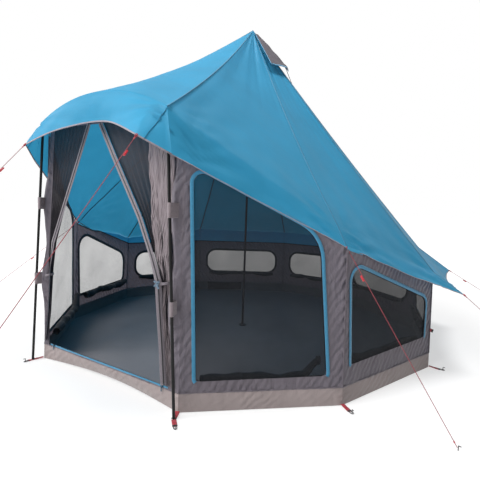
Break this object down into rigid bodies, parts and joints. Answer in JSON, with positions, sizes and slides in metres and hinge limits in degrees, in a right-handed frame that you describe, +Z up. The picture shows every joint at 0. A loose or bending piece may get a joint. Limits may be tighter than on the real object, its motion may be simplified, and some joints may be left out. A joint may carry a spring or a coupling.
{
  "type": "tipi tent",
  "caption": "Ten-sided family tipi tent with a centre pole, mesh windows, a standing-height door under an arched porch canopy, a sewn-in floor and guy lines.",
  "frame": {"origin": "middle of the groundsheet's underside, under the centre pole", "axes": "+Z up, the door and its porch face -Y, +X to the right of somebody looking along +Y"},
  "size_m": [4.9542, 5.6621, 3.055],
  "materials": {
    "groundsheet": "matte coated weave",
    "tub": "coated weave",
    "wall_cloth": "satin polyester",
    "mesh": "open mesh",
    "cover_cloth": "matte polyester",
    "fly_cloth": "satin polyester",
    "hood_cloth": "satin polyester",
    "zip_tape": "woven tape",
    "zip_metal": "satin",
    "pole_steel": "powder coated black",
    "black_plastic": "matte",
    "red_webbing": "woven webbing",
    "grey_webbing": "woven webbing",
    "peg_steel": "satin black",
    "guy_line": "braided",
    "red_plastic": "matte"
  },
  "bodies": {
    "tent": {"arch_pole": "pole_steel", "canopy_visor": "fly_cloth", "centre_pole_foot": "black_plastic", "centre_pole_lower": "pole_steel", "centre_pole_upper": "pole_steel", "door_header": "wall_cloth", "door_mesh_left": "mesh", "door_mesh_right": "mesh", "door_posts": "wall_cloth", "door_zip": "zip_tape", "fly_panel_front": "fly_cloth", "fly_panel_left_front": "fly_cloth", "fly_panel_left_mid": "fly_cloth", "fly_panel_left_rear": "fly_cloth", "fly_panel_rear": "fly_cloth", "fly_panel_rear_left": "fly_cloth", "fly_panel_rear_right": "fly_cloth", "fly_panel_right_front": "fly_cloth", "fly_panel_right_mid": "fly_cloth", "fly_panel_right_rear": "fly_cloth", "groundsheet": "groundsheet", "guy_front_left": "guy_line", "guy_front_right": "guy_line", "guy_left_front": "guy_line", "guy_right_front": "guy_line", "guy_right_mid": "guy_line", "guy_right_rear": "guy_line", "peg_straps": "red_webbing", "pegs": "peg_steel", "pole_tabs": "grey_webbing", "tub_wall": "tub", "upright_left_lower": "pole_steel", "upright_left_upper": "pole_steel", "upright_right_lower": "pole_steel", "upright_right_upper": "pole_steel", "wall_left_front": "wall_cloth", "wall_left_mid": "wall_cloth", "wall_left_rear": "wall_cloth", "wall_rear": "wall_cloth", "wall_rear_left": "wall_cloth", "wall_rear_right": "wall_cloth", "wall_right_front": "wall_cloth", "wall_right_mid": "wall_cloth", "wall_right_rear": "wall_cloth", "window_covers": "cover_cloth", "window_mesh_left_front": "mesh", "window_mesh_left_mid": "mesh", "window_mesh_rear": "mesh", "window_mesh_right_front": "mesh", "window_mesh_right_mid": "mesh"},
    "vent_hood": {"vent_hood": "hood_cloth"},
    "vent_strut": {"vent_strut": "black_plastic"},
    "zip_slider_left": {"zip_slider_left": "zip_metal"},
    "zip_slider_right": {"zip_slider_right": "zip_metal"},
    "runner_front_right": {"runner_front_right": "red_plastic"},
    "runner_front_left": {"runner_front_left": "red_plastic"},
    "runner_right_front": {"runner_right_front": "red_plastic"},
    "runner_left_front": {"runner_left_front": "red_plastic"},
    "runner_right_mid": {"runner_right_mid": "red_plastic"},
    "runner_right_rear": {"runner_right_rear": "red_plastic"}
  },
  "joints": [
    {"name": "vent_hood_hinge", "type": "hinge", "parent": "tent", "child": "vent_hood", "pos_m": [0.05, 0, 3.008], "axis": [0, 1, 0], "range_deg": [0, 4]},
    {"name": "vent_strut_pivot", "type": "hinge", "parent": "vent_hood", "child": "vent_strut", "pos_m": [0.39573, 0.00297, 2.62451], "axis": [0, 1, 0], "range_deg": [-18, 0]},
    {"name": "zip_left_slide", "type": "slide", "parent": "tent", "child": "zip_slider_left", "axis": [1, 0, 0], "range_m": [0, 0.57]},
    {"name": "zip_right_slide", "type": "slide", "parent": "tent", "child": "zip_slider_right", "axis": [-1, 0, 0], "range_m": [0, 0.57]},
    {"name": "runner_front_right_slide", "type": "slide", "parent": "tent", "child": "runner_front_right", "axis": [0.07, -0.6605, -0.7476], "range_m": [0, 0.45]},
    {"name": "runner_front_left_slide", "type": "slide", "parent": "tent", "child": "runner_front_left", "axis": [-0.07, -0.6605, -0.7476], "range_m": [0, 0.45]},
    {"name": "runner_right_front_slide", "type": "slide", "parent": "tent", "child": "runner_right_front", "axis": [0.5769, -0.1011, -0.8105], "range_m": [0, 0.4]},
    {"name": "runner_left_front_slide", "type": "slide", "parent": "tent", "child": "runner_left_front", "axis": [-0.4423, -0.6314, -0.6369], "range_m": [0, 0.4]},
    {"name": "runner_right_mid_slide", "type": "slide", "parent": "tent", "child": "runner_right_mid", "axis": [0.6403, 0.4332, -0.6343], "range_m": [0, 0.25]},
    {"name": "runner_right_rear_slide", "type": "slide", "parent": "tent", "child": "runner_right_rear", "axis": [0.6702, 0.5642, -0.4821], "range_m": [0, 0.35]}
  ],
  "couplings": [
    {"joint": "vent_strut_pivot", "follows": "vent_hood_hinge", "ratio": -4.5}
  ]
}
